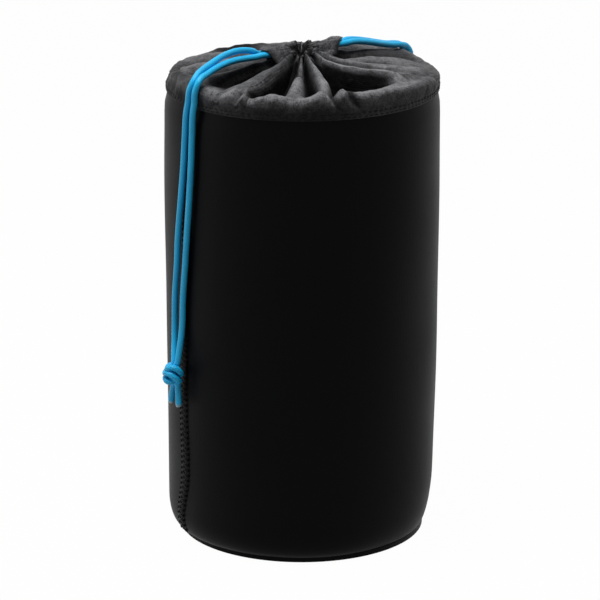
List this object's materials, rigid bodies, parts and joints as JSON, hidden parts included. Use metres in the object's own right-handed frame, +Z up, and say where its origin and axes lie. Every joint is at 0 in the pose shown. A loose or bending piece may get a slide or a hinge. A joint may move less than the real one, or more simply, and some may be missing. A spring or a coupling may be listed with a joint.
{
  "type": "lens pouch",
  "caption": "Round padded drawstring pouch for a camera lens, with a sewn-in base, a thin collar that folds in to close the mouth, and knotted drawcords.",
  "frame": {"origin": "on the floor plane below the middle of the round base", "axes": "+Z up along the pouch's axis, -X through the side seam and drawcord A, +X through drawcord B"},
  "size_m": [0.1434, 0.124, 0.2269],
  "materials": {
    "knit": "smooth jersey knit",
    "foam": "closed-cell foam",
    "lining": "brushed knit",
    "thread": "sewing thread",
    "collar_nylon": "fine woven nylon",
    "cord": "braided cord"
  },
  "bodies": {
    "pouch": {"body_outer_knit": "knit", "body_foam_core": "foam", "body_lining": "lining", "base_outer_knit": "knit", "base_foam_core": "foam", "base_lining": "lining", "base_seam_binding": "collar_nylon", "side_seam": "thread", "collar_band": "collar_nylon", "drawcord_a_left_drop": "cord", "drawcord_a_right_drop": "cord", "drawcord_b_left_drop": "cord", "drawcord_b_right_drop": "cord"},
    "gore_01": {"collar_gore_01": "collar_nylon", "cord_exit_b": "collar_nylon", "drawcord_b_left_top": "cord", "drawcord_b_right_top": "cord"},
    "gore_02": {"collar_gore_02": "collar_nylon"},
    "gore_03": {"collar_gore_03": "collar_nylon"},
    "gore_04": {"collar_gore_04": "collar_nylon"},
    "gore_05": {"collar_gore_05": "collar_nylon"},
    "gore_06": {"collar_gore_06": "collar_nylon"},
    "gore_07": {"collar_gore_07": "collar_nylon", "cord_exit_a": "collar_nylon", "drawcord_a_left_top": "cord", "drawcord_a_right_top": "cord"},
    "gore_08": {"collar_gore_08": "collar_nylon"},
    "gore_09": {"collar_gore_09": "collar_nylon"},
    "gore_10": {"collar_gore_10": "collar_nylon"},
    "gore_11": {"collar_gore_11": "collar_nylon"},
    "gore_12": {"collar_gore_12": "collar_nylon"},
    "pleat_01": {"collar_pleat_01": "collar_nylon"},
    "pleat_02": {"collar_pleat_02": "collar_nylon"},
    "pleat_03": {"collar_pleat_03": "collar_nylon"},
    "pleat_04": {"collar_pleat_04": "collar_nylon"},
    "pleat_05": {"collar_pleat_05": "collar_nylon"},
    "pleat_06": {"collar_pleat_06": "collar_nylon"},
    "pleat_07": {"collar_pleat_07": "collar_nylon"},
    "pleat_08": {"collar_pleat_08": "collar_nylon"},
    "pleat_09": {"collar_pleat_09": "collar_nylon"},
    "pleat_10": {"collar_pleat_10": "collar_nylon"},
    "pleat_11": {"collar_pleat_11": "collar_nylon"},
    "pleat_12": {"collar_pleat_12": "collar_nylon"},
    "knot_a": {"drawcord_a_knot": "cord", "drawcord_a_left_tail": "cord", "drawcord_a_right_tail": "cord"},
    "knot_b": {"drawcord_b_knot": "cord", "drawcord_b_left_tail": "cord", "drawcord_b_right_tail": "cord"}
  },
  "joints": [
    {"name": "mouth_open", "type": "hinge", "parent": "pouch", "child": "gore_01", "pos_m": [0.05989, 0, 0.21375], "axis": [0, 1, 0], "range_deg": [0, 90], "deforming": ["drawcord_b_left_top", "drawcord_b_right_top"]},
    {"name": "gore_02_fold", "type": "hinge", "parent": "pouch", "child": "gore_02", "pos_m": [0.05186, 0.02994, 0.21375], "axis": [-0.5, 0.866, 0], "range_deg": [0, 90]},
    {"name": "gore_03_fold", "type": "hinge", "parent": "pouch", "child": "gore_03", "pos_m": [0.02994, 0.05186, 0.21375], "axis": [-0.866, 0.5, 0], "range_deg": [0, 90]},
    {"name": "gore_04_fold", "type": "hinge", "parent": "pouch", "child": "gore_04", "pos_m": [0, 0.05989, 0.21375], "axis": [-1, 0, 0], "range_deg": [0, 90]},
    {"name": "gore_05_fold", "type": "hinge", "parent": "pouch", "child": "gore_05", "pos_m": [-0.02994, 0.05186, 0.21375], "axis": [-0.866, -0.5, 0], "range_deg": [0, 90]},
    {"name": "gore_06_fold", "type": "hinge", "parent": "pouch", "child": "gore_06", "pos_m": [-0.05186, 0.02994, 0.21375], "axis": [-0.5, -0.866, 0], "range_deg": [0, 90]},
    {"name": "gore_07_fold", "type": "hinge", "parent": "pouch", "child": "gore_07", "pos_m": [-0.05989, 0, 0.21375], "axis": [0, -1, 0], "range_deg": [0, 90], "deforming": ["drawcord_a_left_top", "drawcord_a_right_top"]},
    {"name": "gore_08_fold", "type": "hinge", "parent": "pouch", "child": "gore_08", "pos_m": [-0.05186, -0.02994, 0.21375], "axis": [0.5, -0.866, 0], "range_deg": [0, 90]},
    {"name": "gore_09_fold", "type": "hinge", "parent": "pouch", "child": "gore_09", "pos_m": [-0.02994, -0.05186, 0.21375], "axis": [0.866, -0.5, 0], "range_deg": [0, 90]},
    {"name": "gore_10_fold", "type": "hinge", "parent": "pouch", "child": "gore_10", "pos_m": [0, -0.05989, 0.21375], "axis": [1, 0, 0], "range_deg": [0, 90]},
    {"name": "gore_11_fold", "type": "hinge", "parent": "pouch", "child": "gore_11", "pos_m": [0.02994, -0.05186, 0.21375], "axis": [0.866, 0.5, 0], "range_deg": [0, 90]},
    {"name": "gore_12_fold", "type": "hinge", "parent": "pouch", "child": "gore_12", "pos_m": [0.05186, -0.02994, 0.21375], "axis": [0.5, 0.866, 0], "range_deg": [0, 90]},
    {"name": "pleat_01_fold", "type": "hinge", "parent": "gore_01", "child": "pleat_01", "pos_m": [0.05989, 0.01575, 0.2141], "axis": [0.9635, 0.2582, -0.0702], "range_deg": [0, 40]},
    {"name": "pleat_02_fold", "type": "hinge", "parent": "gore_02", "child": "pleat_02", "pos_m": [0.04399, 0.04358, 0.2141], "axis": [0.7054, 0.7054, -0.0702], "range_deg": [0, 40]},
    {"name": "pleat_03_fold", "type": "hinge", "parent": "gore_03", "child": "pleat_03", "pos_m": [0.01631, 0.05974, 0.2141], "axis": [0.2582, 0.9635, -0.0702], "range_deg": [0, 40]},
    {"name": "pleat_04_fold", "type": "hinge", "parent": "gore_04", "child": "pleat_04", "pos_m": [-0.01575, 0.05989, 0.2141], "axis": [-0.2582, 0.9635, -0.0702], "range_deg": [0, 40]},
    {"name": "pleat_05_fold", "type": "hinge", "parent": "gore_05", "child": "pleat_05", "pos_m": [-0.04358, 0.04399, 0.2141], "axis": [-0.7054, 0.7054, -0.0702], "range_deg": [0, 40]},
    {"name": "pleat_06_fold", "type": "hinge", "parent": "gore_06", "child": "pleat_06", "pos_m": [-0.05974, 0.01631, 0.2141], "axis": [-0.9635, 0.2582, -0.0702], "range_deg": [0, 40]},
    {"name": "pleat_07_fold", "type": "hinge", "parent": "gore_07", "child": "pleat_07", "pos_m": [-0.05989, -0.01575, 0.2141], "axis": [-0.9635, -0.2582, -0.0702], "range_deg": [0, 40]},
    {"name": "pleat_08_fold", "type": "hinge", "parent": "gore_08", "child": "pleat_08", "pos_m": [-0.04399, -0.04358, 0.2141], "axis": [-0.7054, -0.7054, -0.0702], "range_deg": [0, 40]},
    {"name": "pleat_09_fold", "type": "hinge", "parent": "gore_09", "child": "pleat_09", "pos_m": [-0.01631, -0.05974, 0.2141], "axis": [-0.2582, -0.9635, -0.0702], "range_deg": [0, 40]},
    {"name": "pleat_10_fold", "type": "hinge", "parent": "gore_10", "child": "pleat_10", "pos_m": [0.01575, -0.05989, 0.2141], "axis": [0.2582, -0.9635, -0.0702], "range_deg": [0, 40]},
    {"name": "pleat_11_fold", "type": "hinge", "parent": "gore_11", "child": "pleat_11", "pos_m": [0.04358, -0.04399, 0.2141], "axis": [0.7054, -0.7054, -0.0702], "range_deg": [0, 40]},
    {"name": "pleat_12_fold", "type": "hinge", "parent": "gore_12", "child": "pleat_12", "pos_m": [0.05974, -0.01631, 0.2141], "axis": [0.9635, -0.2582, -0.0702], "range_deg": [0, 40]},
    {"name": "cord_a_draw", "type": "slide", "parent": "pouch", "child": "knot_a", "axis": [0.0063, -0.0737, 0.9973], "range_m": [0, 0.105], "deforming": ["drawcord_a_left_drop", "drawcord_a_right_drop"]},
    {"name": "cord_b_draw", "type": "slide", "parent": "pouch", "child": "knot_b", "axis": [-0.0063, 0.0737, 0.9973], "range_m": [0, 0.105], "deforming": ["drawcord_b_left_drop", "drawcord_b_right_drop"]}
  ],
  "couplings": [
    {"joint": "gore_02_fold", "follows": "mouth_open", "ratio": 1},
    {"joint": "gore_03_fold", "follows": "mouth_open", "ratio": 1},
    {"joint": "gore_04_fold", "follows": "mouth_open", "ratio": 1},
    {"joint": "gore_05_fold", "follows": "mouth_open", "ratio": 1},
    {"joint": "gore_06_fold", "follows": "mouth_open", "ratio": 1},
    {"joint": "gore_07_fold", "follows": "mouth_open", "ratio": 1},
    {"joint": "gore_08_fold", "follows": "mouth_open", "ratio": 1},
    {"joint": "gore_09_fold", "follows": "mouth_open", "ratio": 1},
    {"joint": "gore_10_fold", "follows": "mouth_open", "ratio": 1},
    {"joint": "gore_11_fold", "follows": "mouth_open", "ratio": 1},
    {"joint": "gore_12_fold", "follows": "mouth_open", "ratio": 1},
    {"joint": "pleat_01_fold", "follows": "mouth_open", "ratio": 0.4444},
    {"joint": "pleat_02_fold", "follows": "mouth_open", "ratio": 0.4444},
    {"joint": "pleat_03_fold", "follows": "mouth_open", "ratio": 0.4444},
    {"joint": "pleat_04_fold", "follows": "mouth_open", "ratio": 0.4444},
    {"joint": "pleat_05_fold", "follows": "mouth_open", "ratio": 0.4444},
    {"joint": "pleat_06_fold", "follows": "mouth_open", "ratio": 0.4444},
    {"joint": "pleat_07_fold", "follows": "mouth_open", "ratio": 0.4444},
    {"joint": "pleat_08_fold", "follows": "mouth_open", "ratio": 0.4444},
    {"joint": "pleat_09_fold", "follows": "mouth_open", "ratio": 0.4444},
    {"joint": "pleat_10_fold", "follows": "mouth_open", "ratio": 0.4444},
    {"joint": "pleat_11_fold", "follows": "mouth_open", "ratio": 0.4444},
    {"joint": "pleat_12_fold", "follows": "mouth_open", "ratio": 0.4444},
    {"joint": "cord_a_draw", "follows": "mouth_open", "m_per_rad": 0.0668},
    {"joint": "cord_b_draw", "follows": "mouth_open", "m_per_rad": 0.0668}
  ]
}
